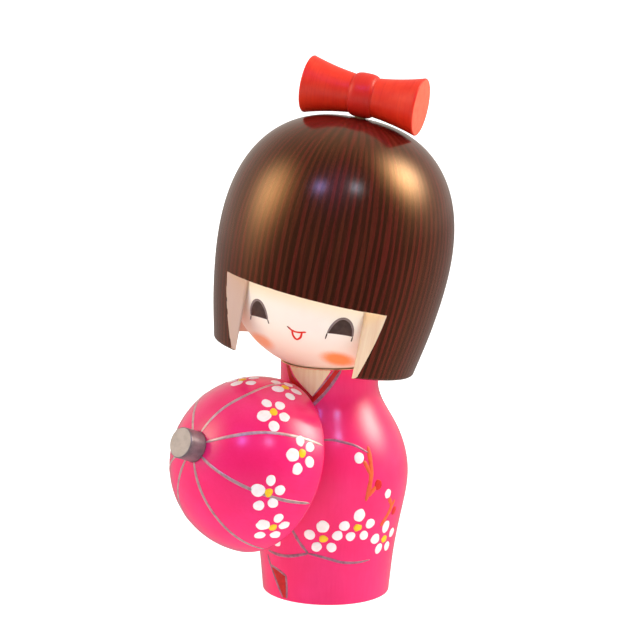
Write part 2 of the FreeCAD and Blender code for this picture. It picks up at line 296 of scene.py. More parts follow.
# --- Meshes ---
def add_piece(name, mesh_data, place, paints, body="doll_body", replaces=()):
    """A finished piece from a bmesh whose coordinates are millimetres in its own frame."""
    bmesh.ops.recalc_face_normals(mesh_data, faces=mesh_data.faces)
    mesh = bpy.data.meshes.new(name)
    mesh_data.to_mesh(mesh)
    mesh_data.free()
    own = np.empty(3 * len(mesh.vertices), np.float32)
    mesh.vertices.foreach_get("co", own)
    mesh.attributes.new(OWN_PLACE, "FLOAT_VECTOR", "POINT").data.foreach_set("vector", own)
    mesh.transform(place @ Matrix.Scale(MM, 4))
    mesh.polygons.foreach_set("use_smooth", [True] * len(mesh.polygons))
    for paint in paints:
        mesh.materials.append(PAINT[paint])
    piece = bpy.data.objects.new(name, mesh)
    bpy.context.scene.collection.objects.link(piece)
    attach(piece, body)
    for node in replaces:
        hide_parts(node)
    return piece


def add_grid(mesh_data, rows, closed, material=0):
    """Quads between rows of points; a row of one point makes a fan."""
    made = [[mesh_data.verts.new(point) for point in row] for row in rows]
    for low, high in zip(made, made[1:]):
        longest = max(len(low), len(high))
        for i in range(longest if closed else longest - 1):
            j = (i + 1) % longest
            ring = [low[i % len(low)], low[j % len(low)], high[j % len(high)], high[i % len(high)]]
            corners = list(dict.fromkeys(ring))
            if len(corners) > 2:
                mesh_data.faces.new(corners).material_index = material
    return made


def turned(outline, segments=288):
    """A bmesh turned about Z from (radius, height) points."""
    mesh_data = bmesh.new()
    angles = [2 * math.pi * i / segments for i in range(segments)]
    rows = [[(radius * math.cos(a), radius * math.sin(a), height) for a in angles]
            if radius > 1e-6 else [(0, 0, height)] for radius, height in outline]
    add_grid(mesh_data, rows, closed=True)
    return mesh_data


def paint_by_place(mesh_data, choose):
    """Give each face the material index that choose(centre) says."""
    for face in mesh_data.faces:
        face.material_index = choose(face.calc_center_median())


# --- The hair bell, sawn flat in front below the fringe ---
BELL_AROUND = 300  # columns round the back
BELL_FRONT = 84  # columns across the fringe
BELL_BELOW = 56  # rows below the fringe
BELL_ABOVE = 110  # rows above it
ROUNDS = 8  # to settle where the sloping fringe meets the bell
NEARLY_FLUSH = 0.85  # cosine between faces whose shared edge is left sharp


class Bell:
    """The bell's wall as two matching grids, outside and bore, with the notch left out."""

    def __init__(self):
        side = np.array(bell_side())
        self.radii, self.heights = side.T
        self.lengths = np.concatenate([[0], np.cumsum(np.hypot(*np.diff(side, axis=0).T))])
        self.corner = {}
        for sign in (1, -1):
            height = FRINGE_HEIGHT
            for _ in range(ROUNDS):
                across = math.sqrt(self.radius(height) ** 2 - FACE_CUT**2)
                height = self.fringe(sign * across)
            self.corner[sign] = height

    def fringe(self, x):
        return FRINGE_HEIGHT - math.tan(math.radians(FRINGE_SLOPE)) * x

    def radius(self, height):
        return float(np.interp(height, self.heights, self.radii))

    def length(self, height):
        return float(np.interp(height, self.heights, self.lengths))

    def edge(self, sign, height, bore):
        """Bearing from the front, in radians, at which the notch ends on one side."""
        radius = HAIR_BORE_RADIUS if bore else self.radius(min(height, self.corner[sign]))
        return math.acos(min(1, FACE_CUT / radius))

    def bearing(self, share, height, bore, front):
        left, right = self.edge(1, height, bore), self.edge(-1, height, bore)
        if front:
            return -right + (left + right) * share
        return left + (2 * math.pi - right - left) * share

    def point(self, share, radius, height, bore, front):
        bearing = self.bearing(share, height, bore, front)
        return (radius * math.sin(bearing), -radius * math.cos(bearing), height)

    def fringe_height(self, share, bore, front):
        """Height where the sloping fringe line meets this column."""
        height = FRINGE_HEIGHT
        for _ in range(ROUNDS):
            radius = HAIR_BORE_RADIUS if bore else self.radius(height)
            height = self.fringe(radius * math.sin(self.bearing(share, height, bore, front)))
        return height

    def outside_column(self, share, front):
        turn = self.length(self.fringe_height(share, False, front))
        top = self.lengths[-1]
        below = [] if front else list(np.linspace(0, turn, BELL_BELOW + 1)[:-1])
        above = list(np.linspace(turn, top, BELL_ABOVE + 1))[:-1]
        return [self.point(share, float(np.interp(length, self.lengths, self.radii)),
                           float(np.interp(length, self.lengths, self.heights)), False, front)
                for length in below + above]

    def bore_column(self, share, front):
        turn = self.fringe_height(share, True, front)
        below = [] if front else list(np.linspace(self.heights[0], turn, BELL_BELOW + 1)[:-1])
        above = list(np.linspace(turn, HAIR_BORE_TOP, 12))
        return [self.point(share, HAIR_BORE_RADIUS, height, True, front) for height in below + above]


def ladder(start, end, steps):
    """Rows of points straight across from one line of points to another."""
    return [[tuple(np.array(a) + (np.array(b) - np.array(a)) * step / steps)
             for a, b in zip(start, end)] for step in range(steps + 1)]


def bell_mesh():
    bell = Bell()
    mesh_data = bmesh.new()
    grids = []
    for paint, column in enumerate((bell.outside_column, bell.bore_column)):
        for front, count in enumerate((BELL_AROUND, BELL_FRONT)):
            grids.append([column(i / count, front) for i in range(count + 1)])
            add_grid(mesh_data, grids[-1], closed=False, material=paint)
    outer_back, outer_front, bore_back, bore_front = grids
    tops = ((outer_back, outer_front, CROWN_TOP), (bore_back, bore_front, HAIR_BORE_TOP))
    for paint, (back, front, top) in enumerate(tops):
        ring = [column[-1] for column in back[:-1] + front[:-1]]
        add_grid(mesh_data, [ring, [(0, 0, top)]], closed=True, material=paint)
    for outer, bore in ((outer_back[0], bore_back[0]), (outer_back[-1], bore_back[-1])):
        rows = ladder(outer[:BELL_BELOW + 1], bore[:BELL_BELOW + 1], 6)
        add_grid(mesh_data, rows, closed=False, material=1)
    underside = ladder([c[0] for c in outer_front], [c[0] for c in bore_front], 6)
    add_grid(mesh_data, underside, closed=False, material=1)
    bmesh.ops.remove_doubles(mesh_data, verts=mesh_data.verts, dist=0.0005)
    bmesh.ops.dissolve_degenerate(mesh_data, edges=mesh_data.edges, dist=0.0005)
    return mesh_data


def soften_sawn_edges(piece):
    """A small worn rounding where the lacquered outside meets the sawn faces."""
    mesh = piece.data
    weights = mesh.attributes.new("bevel_weight_edge", "FLOAT", "EDGE")
    faces_at = {}
    for polygon in mesh.polygons:
        for key in polygon.edge_keys:
            faces_at.setdefault(key, []).append(polygon)
    for edge in mesh.edges:
        sides = faces_at.get(tuple(sorted(edge.vertices)), [])
        if len(sides) != 2 or sides[0].material_index == sides[1].material_index:
            continue
        if sides[0].normal.dot(sides[1].normal) > NEARLY_FLUSH:
            continue
        middle = (mesh.vertices[edge.vertices[0]].co + mesh.vertices[edge.vertices[1]].co) / 2
        wall = math.hypot(middle.x, middle.y) / MM - HAIR_BORE_RADIUS
        weights.data[edge.index].value = min(1.0, max(0.0, wall / 3))
    bevel = piece.modifiers.new("worn edges", "BEVEL")
    bevel.limit_method = "WEIGHT"
    bevel.width = SAWN_EDGE * MM
    bevel.segments = 3
    bevel.use_clamp_overlap = False
    bevel.harden_normals = True


# --- Painted dabs and strokes ---
class RobeSurface:
    """Places on the robe are (bearing in degrees from the front towards its left, height)."""

    def __init__(self):
        outline = [(FOOT_RADIUS, 0.0)] + robe_outline() + [(COLLAR_RADIUS, BODY_TOP)]
        self.radii, self.heights = np.array(outline).T
        self.slopes = np.gradient(self.radii, self.heights)

    def at(self, place, lift=0.0):
        bearing, height = math.radians(place[0]), place[1]
        radius = np.interp(height, self.heights, self.radii)
        slope = np.interp(height, self.heights, self.slopes)
        out = np.array((1.0, -slope)) / math.hypot(1.0, slope)
        radius, height = radius + out[0] * lift, height + out[1] * lift
        return np.array((radius * math.sin(bearing), -radius * math.cos(bearing), height))

    def near(self, point):
        return (math.degrees(math.atan2(point[0], -point[1])), point[2])


class BowlSurface:
    """Places on the parasol are (degrees round the ferrule, degrees out from it)."""

    def at(self, place, lift=0.0):
        turn, tilt = math.radians(place[0]), math.radians(place[1])
        radius = PARASOL_RADIUS + lift
        return radius * np.array((math.sin(tilt) * math.cos(turn), math.sin(tilt) * math.sin(turn),
                                  math.cos(tilt)))

    def near(self, point):
        point = np.array(point) / np.linalg.norm(point)
        return (math.degrees(math.atan2(point[1], point[0])), math.degrees(math.acos(point[2])))


class FaceSurface:
    """Places on the face are (towards the doll's left, up from the pivot)."""

    def at(self, place, lift=0.0):
        x, z = place
        down = min(0.0, z - CHEEK_HEIGHT)
        y = -math.sqrt(max(0.0, FACE_RADIUS**2 * (1 - (down / CHIN_DEPTH) ** 2) - x**2))
        normal = np.array((x / FACE_RADIUS**2, y / FACE_RADIUS**2, down / CHIN_DEPTH**2))
        return np.array((x, y, z)) + normal / np.linalg.norm(normal) * lift

    def near(self, point):
        return (point[0], point[2])


ROBE, BOWL, FACE = RobeSurface(), BowlSurface(), FaceSurface()


def axes_at(surface, place):
    """Unit vectors across, up and out of the surface at a place."""
    normal = surface.at(place, 1.0) - surface.at(place, 0.0)
    normal /= np.linalg.norm(normal)
    up = np.array((0, 0, 1.0)) - normal * normal[2]
    up /= np.linalg.norm(up)
    return np.cross(up, normal), up, normal


def beside(surface, place, across, up):
    """The place that many millimetres across and up from another."""
    side, rise, _ = axes_at(surface, place)
    return surface.near(surface.at(place) + side * across + rise * up)


def dab(mesh_data, surface, place, wide, high=None, lean=0.0, thick=0.16, wobble=0.04, seed=0):
    """One blob of thick paint: an uneven oval, domed, its edge let into the surface."""
    high = high or wide
    chance = random.Random(seed)
    ripple = [(k, chance.uniform(-1, 1) * wobble, chance.uniform(0, math.tau)) for k in (2, 3, 5)]
    around, shares = 28, (1.0, 0.93, 0.82, 0.62, 0.35)
    turn = math.radians(lean)
    rows = []
    for share in shares:
        row = []
        for i in range(around):
            angle = math.tau * i / around
            size = share * (1 + sum(much * math.sin(k * angle + start) for k, much, start in ripple))
            x, y = wide / 2 * size * math.cos(angle), high / 2 * size * math.sin(angle)
            spot = beside(surface, place, x * math.cos(turn) - y * math.sin(turn),
                          x * math.sin(turn) + y * math.cos(turn))
            dome = math.sqrt(1 - share**2) if share < 1 else 0.0
            row.append(surface.at(spot, thick * dome - (PAINT_ROOT if share == 1 else 0.0)))
        rows.append(row)
    rows.append([surface.at(place, thick)])
    made = add_grid(mesh_data, rows, closed=True)
    mesh_data.faces.new(list(reversed(made[0])))


def along(points, steps=10):
    """A smooth path through chart places, by Catmull-Rom spans."""
    points = [np.array(point, float) for point in points]
    ends = [2 * points[0] - points[1]] + points + [2 * points[-1] - points[-2]]
    path = []
    for a, b, c, d in zip(ends, ends[1:], ends[2:], ends[3:]):
        for t in np.arange(steps) / steps:
            path.append(0.5 * (2 * b + (c - a) * t + (2 * a - 5 * b + 4 * c - d) * t**2
                               + (3 * b - a - 3 * c + d) * t**3))
    path.append(points[-1])
    return path


STROKE_END = 0.04  # share of a stroke's length over which it closes
STROKE_TIP = 0.15  # share of its width left at the tip


def stroke(mesh_data, surface, points, width, thick=0.08, taper=0.35, steps=12, seed=1):
    """One brush stroke: a ribbon of paint whose width breathes and closes at both ends."""
    chance = random.Random(seed)
    ripple = [(chance.uniform(0.02, 0.06), chance.uniform(0, math.tau), chance.uniform(5, 23))
              for _ in range(3)]
    path = along(points, steps)
    spots = [surface.at(place) for place in path]
    section = ((-0.5, -PAINT_ROOT), (-0.42, 0.65 * thick), (0.0, thick), (0.42, 0.65 * thick),
               (0.5, -PAINT_ROOT))
    rows = []
    for i, place in enumerate(path):
        share = i / (len(path) - 1)
        ahead = spots[min(i + 1, len(spots) - 1)] - spots[max(i - 1, 0)]
        _, _, normal = axes_at(surface, place)
        side = np.cross(ahead, normal)
        side /= np.linalg.norm(side)
        now = width * (1 + sum(much * math.sin(start + rate * share) for much, start, rate in ripple))
        close = min(1.0, share / STROKE_END, (1 - share) / STROKE_END)
        closed = (1 - STROKE_TIP) * math.sqrt(max(0.0, close))
        now *= STROKE_TIP + closed * (1 - taper * (2 * share - 1) ** 4)
        row = []
        for across, lift in section:
            spot = surface.near(spots[i] + side * across * now)
            row.append(surface.at(spot, lift))
        rows.append(row)
    made = add_grid(mesh_data, rows, closed=True)
    mesh_data.faces.new(list(reversed(made[0])))
    mesh_data.faces.new(made[-1])


def patch(mesh_data, surface, left, right, thick=0.06, columns=10, steps=8):
    """A painted area between two edges that run side by side."""
    left, right = along(left, steps), along(right, steps)
    for lift in (thick, -PAINT_ROOT):
        rows = []
        for i, (a, b) in enumerate(zip(left, right)):
            inner = [-PAINT_ROOT if i in (0, len(left) - 1) else lift] * (columns - 1)
            lifts = [-PAINT_ROOT] + inner + [-PAINT_ROOT]
            rows.append([surface.at(a + (b - a) * j / columns, lifts[j]) for j in range(columns + 1)])
        add_grid(mesh_data, rows, closed=False)
    bmesh.ops.remove_doubles(mesh_data, verts=mesh_data.verts, dist=0.0004)


# --- Materials ---
class Tree:
    """Short words for adding and linking nodes; a value is a number or another socket."""

    def __init__(self, tree):
        self.tree = tree

    def link(self, source, target):
        self.tree.links.new(source, target)

    def feed(self, target, value):
        if isinstance(value, bpy.types.NodeSocket):
            self.link(value, target)
        else:
            target.default_value = value

    def add(self, kind, inputs, **settings):
        """A new node, its inputs fed by name or by number."""
        node = self.tree.nodes.new("ShaderNode" + kind)
        for name, value in settings.items():
            setattr(node, name, value)
        for name, value in inputs.items():
            self.feed(node.inputs[name], value)
        return node

    def math(self, operation, first, second=0.0):
        return self.add("Math", {0: first, 1: second}, operation=operation).outputs[0]

    def length(self, x, y):
        squares = [self.math("MULTIPLY", value, value) for value in (x, y)]
        return self.math("SQRT", self.math("ADD", *squares))

    def remap(self, value, low, high, new_low=0.0, new_high=1.0):
        """Ease smoothly from new_low to new_high while the value goes from low to high."""
        inputs = {"Value": value, "From Min": low, "From Max": high, "To Min": new_low,
                  "To Max": new_high}
        return self.add("MapRange", inputs, interpolation_type="SMOOTHSTEP").outputs["Result"]


class Nodes(Tree):
    """A material's nodes.

    The texture follows the piece's own turning frame, or the doll's when own is false."""

    def __init__(self, name, own=True):
        self.material = bpy.data.materials.new(name)
        self.material.use_nodes = True
        super().__init__(self.material.node_tree)
        self.shader = self.tree.nodes["Principled BSDF"]
        if own:
            self.place = self.add("Attribute", {}, attribute_name=OWN_PLACE).outputs["Vector"]
        else:
            metres = self.add("TexCoord", {}).outputs["Object"]
            inputs = {0: metres, "Scale": 1 / MM}
            self.place = self.add("VectorMath", inputs, operation="SCALE").outputs[0]
        self.x, self.y, self.z = self.add("SeparateXYZ", {0: self.place}).outputs

    def either_way(self, noise, much):
        """A noise swung about zero."""
        return self.math("MULTIPLY", self.math("SUBTRACT", noise, 0.5), much)

    def noise(self, scale, detail=2.0, roughness=0.5, stretch=None, place=None):
        place = place or self.place
        if stretch:
            place = self.add("Mapping", {"Vector": place, "Scale": stretch}).outputs[0]
        inputs = {"Vector": place, "Scale": scale, "Detail": detail, "Roughness": roughness}
        return self.add("TexNoise", inputs).outputs["Fac"]

    def mix(self, share, first, second):
        """Between two colours, each a socket or three numbers."""
        colours = [colour if isinstance(colour, bpy.types.NodeSocket) else (*colour, 1.0)
                   for colour in (first, second)]
        inputs = {"Factor": share, 6: colours[0], 7: colours[1]}
        return self.add("Mix", inputs, data_type="RGBA").outputs[2]

    def bump(self, height, distance, strength):
        inputs = {"Height": height, "Strength": strength, "Distance": distance * MM}
        self.link(self.add("Bump", inputs).outputs["Normal"], self.shader.inputs["Normal"])

    def finish(self, colour, roughness, **constants):
        self.feed(self.shader.inputs["Base Color"], colour)
        self.feed(self.shader.inputs["Roughness"], roughness)
        for name, value in constants.items():
            self.shader.inputs[name.replace("_", " ")].default_value = value
        return self.material


def srgb(red, green, blue):
    """Linear colour from the 0 to 255 values a painter would name it by."""
    shares = (value / 255 for value in (red, green, blue))
    return tuple(share / 12.92 if share <= 0.04045 else ((share + 0.055) / 1.055) ** 2.4
                 for share in shares)


def pink_lacquer(name, shades, grain_share, rough, rings_share, relief, coat):
    """Hot pink under a clear satin-gloss coat, with faint grain, turning rings and mottle."""
    n = Nodes(name)
    light, dark, streak = (srgb(*shade) for shade in shades)
    rings = n.noise(1.0, 2.0, stretch=(0.02, 0.02, 2.2))
    grain = n.noise(1.0, 3.0, stretch=(1.6, 1.6, 0.12))
    colour = n.mix(n.remap(n.noise(0.09, 3.0), 0.3, 0.7), light, dark)
    colour = n.mix(n.remap(grain, 0.35, 0.75, 0.0, grain_share), colour, streak)
    n.bump(n.math("ADD", n.math("MULTIPLY", rings, rings_share), grain), 0.02, relief)
    coat_roughness, coat_ior = coat
    return n.finish(colour, n.remap(n.noise(0.5, 3.0), 0.3, 0.7, *rough), Coat_Weight=1.0,
                    Coat_Roughness=coat_roughness, Coat_IOR=coat_ior, Specular_IOR_Level=0.15)


WOOD_LINES = (1.0, 1.0, 0.07)  # growth lines, drawn out along the turning axis
WOOD_PORES = (1.0, 1.0, 0.12)


def wood(name, light, dark, fleck=0.35, rough=0.6, own=True):
    """Pale close-grained wood: growth lines, pores and a little bump."""
    n = Nodes(name, own)
    light, dark = srgb(*light), srgb(*dark)
    lines = n.noise(0.9, 4.0, 0.6, stretch=WOOD_LINES)
    pores = n.noise(4.5, 3.0, 0.6, stretch=WOOD_PORES)
    broad = n.noise(0.08, 2.0)
    colour = n.mix(n.remap(lines, 0.35, 0.68), light, dark)
    colour = n.mix(n.remap(broad, 0.35, 0.7, 0.0, 0.35), colour, dark)
    colour = n.mix(n.remap(pores, 0.58, 0.8, 0.0, fleck), colour, tuple(c * 0.55 for c in dark))
    n.bump(n.math("ADD", lines, pores), 0.05, 0.4)
    return n.finish(colour, n.remap(lines, 0.3, 0.7, rough - 0.06, rough + 0.08),
                    Specular_IOR_Level=0.35)


def sawn_wood():
    """The bell's own wood where the face was sawn free, with painted shade that greys it down the doll's
    right.
    """
    n = Nodes("sawn_wood")
    lines = n.noise(0.9, 4.0, 0.6, stretch=WOOD_LINES)
    colour = n.mix(n.remap(lines, 0.3, 0.72), srgb(252, 226, 186), srgb(242, 208, 166))
    # Painted shade: the sawn strip on the doll's right is mixed towards a greyer tan.
    colour = n.mix(n.remap(n.x, 2.0, -14.0, 0.0, 0.9), colour, srgb(214, 182, 160))
    n.bump(n.math("ADD", lines, n.noise(1.0, 2.0, stretch=(0.3, 0.3, 3.0))), 0.05, 0.4)
    return n.finish(colour, n.remap(lines, 0.3, 0.7, 0.5, 0.62), Specular_IOR_Level=0.3)


HAIR_STREAKS = 94  # round the bell, below the crown
# Fewer streaks, their offset, and how many times the radius has halved where they take over
STREAK_MERGES = ((47, 0.2, 0.45, 0.8), (24, 0.4, 1.4, 1.8), (12, 0.1, 2.4, 2.8))


def hair_lacquer():
    """Dark red and black streaks along the hair under an amber satin lacquer.

    The streaks run up the bell. Towards the crown each pair merges into one, so that
    they stay about as wide as they started."""
    n = Nodes("hair_lacquer")
    angle = n.math("DIVIDE", n.math("ARCTAN2", n.x, n.y), math.tau)
    radius = n.length(n.x, n.y)
    level = n.math("LOGARITHM", n.math("DIVIDE", HAIR_RADIUS, n.math("MAXIMUM", radius, 0.8)), 2.0)
    angle = n.math("ADD", angle, n.either_way(n.noise(0.08, stretch=(1, 1, 0.3)), 0.004))
    around = n.math("MULTIPLY", angle, math.tau)
    ring = n.add("CombineXYZ", {0: n.math("COSINE", around), 1: n.math("SINE", around),
                                2: n.math("MULTIPLY", n.z, 0.0014)}).outputs[0]

    def streaks(count, offset):
        """Soft stripes, count of them round the bell, uneven in width and depth."""
        spun = n.math("ADD", n.math("MULTIPLY", angle, float(count)), offset)
        phase = n.math("ADD", spun, n.either_way(n.noise(count * 0.33, 1.0, place=ring), 0.8))
        wave = n.math("SINE", n.math("MULTIPLY", phase, math.tau))
        depth = n.remap(n.noise(count * 0.27, place=ring), 0.3, 0.7, 0.35, 1.0)
        return n.math("MULTIPLY", wave, depth)

    field = streaks(HAIR_STREAKS, 0.0)
    for count, offset, start, end in STREAK_MERGES:
        share = n.remap(level, start, end)
        kept = n.math("MULTIPLY", field, n.math("SUBTRACT", 1.0, share))
        field = n.math("ADD", kept, n.math("MULTIPLY", streaks(count, offset), share))
    fine = n.noise(1.0, 4.0, 0.6, stretch=(3.0, 3.0, 0.06))
    field = n.math("ADD", field, n.either_way(fine, 0.9))
    patchy = n.noise(9.0, place=ring)
    light = n.mix(n.remap(patchy, 0.4, 0.62), srgb(98, 25, 26), srgb(88, 34, 24))
    colour = n.mix(n.remap(field, -0.7, 0.95, 0.0, 0.78), srgb(44, 14, 10), light)
    rough = n.remap(fine, 0.3, 0.7, 0.17, 0.25)
    n.bump(field, 0.03, 0.10)
    n.shader.inputs["Specular Tint"].default_value = (1.0, 0.52, 0.20, 1.0)
    return n.finish(colour, rough, IOR=1.6, Specular_IOR_Level=1.0, Coat_Weight=0.22,
                    Coat_Roughness=0.12, Coat_IOR=1.45)


CHEEKS = ((10.4, 0.95), (-11.8, 0.75))  # how far to the doll's left, and how strong
CHEEK_LEVEL, CHEEK_WIDE, CHEEK_TALL = -23.2, 5.0, 2.7


def face_paint():
    """Cream satin paint with two airbrushed orange cheeks, rosier towards the chin with painted
    reflection of the pink robe and painted shade, and yellower under the fringe with painted shade.
    """
    n = Nodes("face_cream")
    mottle = n.noise(0.25, 3.0)
    colour = n.mix(n.remap(mottle, 0.3, 0.7, 0.0, 0.5), srgb(250, 241, 225), srgb(248, 236, 220))
    # Painted reflection of the pink robe and painted shade: rosier towards the chin.
    colour = n.mix(n.remap(n.z, -13.0, -29.0, 0.0, 0.9), colour, srgb(254, 222, 200))
    # Painted shade under the fringe: yellower on the forehead just below the hair.
    colour = n.mix(n.remap(n.z, -11.5, -6.5, 0.0, 0.35), colour, srgb(248, 224, 172))
    front = n.math("LESS_THAN", n.y, 0.0)
    for middle, depth in CHEEKS:
        across = n.math("DIVIDE", n.math("SUBTRACT", n.x, middle), CHEEK_WIDE)
        up = n.math("DIVIDE", n.math("SUBTRACT", n.z, CHEEK_LEVEL), CHEEK_TALL)
        far = n.math("ADD", n.length(across, up), n.either_way(n.noise(2.5), 0.25))
        share = n.math("MULTIPLY", n.remap(far, 1.15, 0.4, 0.0, depth), front)
        colour = n.mix(share, colour, srgb(255, 144, 68))
    rough = n.remap(n.noise(0.8, 3.0), 0.3, 0.7, 0.36, 0.46)
    n.bump(n.noise(1.0, 3.0, stretch=(2.5, 2.5, 0.2)), 0.015, 0.3)
    return n.finish(colour, rough, Specular_IOR_Level=0.4)


def satin_paint(name, colour, other, rough=0.45, coat=0.2, scale=0.6, metal=0.0):
    """Hand paint: slightly uneven cover, faint brush ridges."""
    n = Nodes(name)
    cover = n.noise(scale, 3.0, 0.6)
    fine = n.noise(3.5, 2.0)
    shade = n.mix(n.remap(cover, 0.35, 0.7), srgb(*colour), srgb(*other))
    n.bump(n.math("ADD", cover, fine), 0.03, 0.35)
    return n.finish(shade, n.remap(fine, 0.3, 0.7, rough - 0.05, rough + 0.07),
                    Coat_Weight=coat, Coat_Roughness=0.25, Specular_IOR_Level=0.4, Metallic=metal)


def bow_red():
    """Bright red paint over turned wood: rings from the gouge show through the cover."""
    n = Nodes("bow_red")
    rings = n.noise(1.0, 2.0, stretch=(0.1, 0.1, 2.6))
    cover = n.noise(0.35, 3.0)
    colour = n.mix(n.remap(cover, 0.35, 0.7), srgb(238, 44, 18), srgb(244, 56, 26))
    colour = n.mix(n.remap(rings, 0.45, 0.75, 0.0, 0.2), colour, srgb(206, 22, 10))
    # Painted shade: the knot's middle is darker crimson than the loops.
    knot = n.math("LESS_THAN", n.math("ABSOLUTE", n.z), BOW_KNOT_WIDTH / 2)
    colour = n.mix(n.math("MULTIPLY", knot, 0.6), colour, srgb(212, 26, 20))
    n.bump(rings, 0.04, 0.3)
    return n.finish(colour, n.remap(rings, 0.3, 0.7, 0.42, 0.52), Coat_Weight=0.4,
                    Coat_Roughness=0.28, Specular_IOR_Level=0.3)


# Name, two shades of the cover, roughness, coat, scale of the unevenness and metal
SATINS = {
    "bow_end": ("bow_end_red", (244, 112, 84), (240, 98, 70), 0.55, 0.0),
    "silver": ("silver_line", (192, 136, 152), (160, 102, 122), 0.36, 0.2, 0.8, 0.3),
    "rib": ("silver_rib", (232, 196, 196), (206, 160, 166), 0.36, 0.2, 0.5, 0.6),
    "ferrule": ("ferrule_silver", (150, 138, 142), (128, 116, 122), 0.34, 0.1, 0.4, 0.5),
    "ferrule_end": ("ferrule_end", (186, 174, 162), (172, 160, 148), 0.5, 0.1, 0.5, 0.1),
    "white": ("blossom_white", (255, 250, 244), (250, 240, 232), 0.4, 0.3),
    "yellow": ("stamen_yellow", (252, 214, 20), (250, 192, 14), 0.4, 0.3, 1.1),
    "twig": ("twig_orange", (236, 100, 42), (228, 76, 38)),
    "red": ("bud_red", (226, 26, 14), (206, 16, 10), 0.42, 0.3),
    "lining": ("collar_red", (206, 16, 14), (180, 8, 12), 0.45, 0.1),
    "eye": ("eye_brown", (68, 48, 42), (80, 60, 52), 0.5, 0.1),
    "grey": ("eye_grey", (126, 110, 106), (144, 126, 122), 0.5, 0.1),
    "lip": ("lip_red", (236, 52, 32), (226, 40, 26), 0.42),
}


def make_materials():
    inner = ((228, 196, 150), (196, 156, 108))
    made = {
        "robe": pink_lacquer("robe_pink", ((252, 40, 110), (255, 48, 120), (242, 28, 98)), 0.2,
                             (0.34, 0.42), 0.5, 0.22, (0.16, 1.54)),
        "parasol": pink_lacquer("parasol_pink", ((249, 30, 108), (253, 40, 120), (242, 24, 96)), 0.3,
                                (0.30, 0.38), 0.0, 0.3, (0.18, 1.52)),
        "hair": hair_lacquer(),
        "face": face_paint(),
        "bow": bow_red(),
        "sawn": sawn_wood(),
        "neck": wood("neck_wood", (250, 224, 182), (242, 208, 162), fleck=0.12, rough=0.5),
        "inner": wood("inner_wood", *inner),
        "dowel": wood("dowel_wood", *inner, own=False),
    }
    for key, values in SATINS.items():
        made[key] = satin_paint(*values)
    return made


PAINT = make_materials()


# --- Turned pieces ---
def make_body():
    mesh_data = turned(body_outline())
    neck = BODY_TOP - LIP_BARE
    paint_by_place(mesh_data, lambda c: 1 if c.z < FOOT_BARE or c.z > neck
                    or math.hypot(c.x, c.y) < COLLAR_RADIUS - LIP_BARE and c.z > neck - DISH_DEPTH else 0)
    add_piece("robe_body", mesh_data, DOLL, ["robe", "neck"], "doll_body", ["body"])


def make_head():
    add_piece("face", turned(face_outline()), HEAD, ["face"], "head", ["face_block"])
    hair = add_piece("hair", bell_mesh(), HEAD, ["hair", "sawn"], "head", ["hair_bell"])
    soften_sawn_edges(hair)
    bow = turned(bow_outline(), 192)
    paint_by_place(bow, lambda c: 1 if abs(c.z) > BOW_LENGTH / 2 - END_FACE else 0)
    add_piece("bow_spool", bow, BOW, ["bow", "bow_end"], "head", ["bow"])


def make_parasol():
    bowl = turned(bowl_outline())
    inside = PARASOL_RADIUS - PARASOL_WALL + 0.3
    paint_by_place(bowl, lambda c: 1 if c.length < inside and c.z > PARASOL_BARE else 0)
    add_piece("parasol_bowl", bowl, PARASOL, ["parasol", "inner"], "doll_body",
              ["parasol_canopy"])
    cap = turned(ferrule_outline(), 128)
    tip = PARASOL_RADIUS + FERRULE_PROUD
    paint_by_place(cap, lambda c: 1 if c.z > tip - END_FACE else 0)
    add_piece("parasol_cap", cap, PARASOL, ["ferrule", "ferrule_end"], "doll_body",
              ["parasol_ferrule"])


def finish_inner_pieces():
    """The dowels keep their designed shape and get bare wood."""
    for name in ("neck_dowel", "bow_peg", "parasol_handle"):
        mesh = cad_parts[name].data
        mesh.materials.clear()
        mesh.materials.append(PAINT["dowel"])


# --- Painting ---
# Petals as (millimetres from the flower's middle, direction in degrees, size)
ROBE_FLOWER = ((3.7, 90, 3.6), (4.0, 11, 3.0), (3.4, 308, 2.8), (3.1, 236, 2.9), (4.0, 168, 3.1))
PARASOL_FLOWER = ((3.4, 16, 2.9), (2.9, 105, 3.7), (4.5, 169, 3.1), (3.2, 233, 3.0), (3.1, 311, 2.9))
ROBE_FLOWERS = [(18.3, 19.6), (44.7, 22.6), (74.0, 17.6)]
BACK_FLOWERS = [(168, 24.0), (196, 19.0), (222, 23.0)]
PETAL_BUDS = (((44.4, 42.2), 2.9, 3.2, 3), ((69.0, 31.2), 2.6, 2.7, 4), ((190, 34.0), 2.6, 2.8, 5),
              ((-23.4, 17.0), 3.1, 3.1, 12))
PARASOL_FLOWERS = [(45.9, 57.4), (15.4, 74.3), (342.5, 60.1), (320.7, 77.1), (70.0, 76.5),
                   (97.5, 61.0), (126, 76), (154, 62)]
RIBS = [(27.5, 28.5, 23.5), (80, 72, 77), (125, 132, 130), (168, 166, 170), (205, 208, 206),
        (241, 243, 246), (288, 294, 298), (330, 338, 345.5)]


def flower(petals, stamens, surface, place, pattern, seed):
    """Five uneven petals round a yellow middle."""
    chance = random.Random(seed)
    for i, (far, direction, size) in enumerate(pattern):
        angle = math.radians(direction + chance.uniform(-4, 4))
        spot = beside(surface, place, far * math.cos(angle), far * math.sin(angle))
        long = size * chance.uniform(1.0, 1.12)
        dab(petals, surface, spot, long, size * chance.uniform(0.9, 1.0), direction,
            seed=seed * 10 + i)
    dab(stamens, surface, place, 2.5, 2.2, thick=0.2, wobble=0.07, seed=seed * 10 + 9)


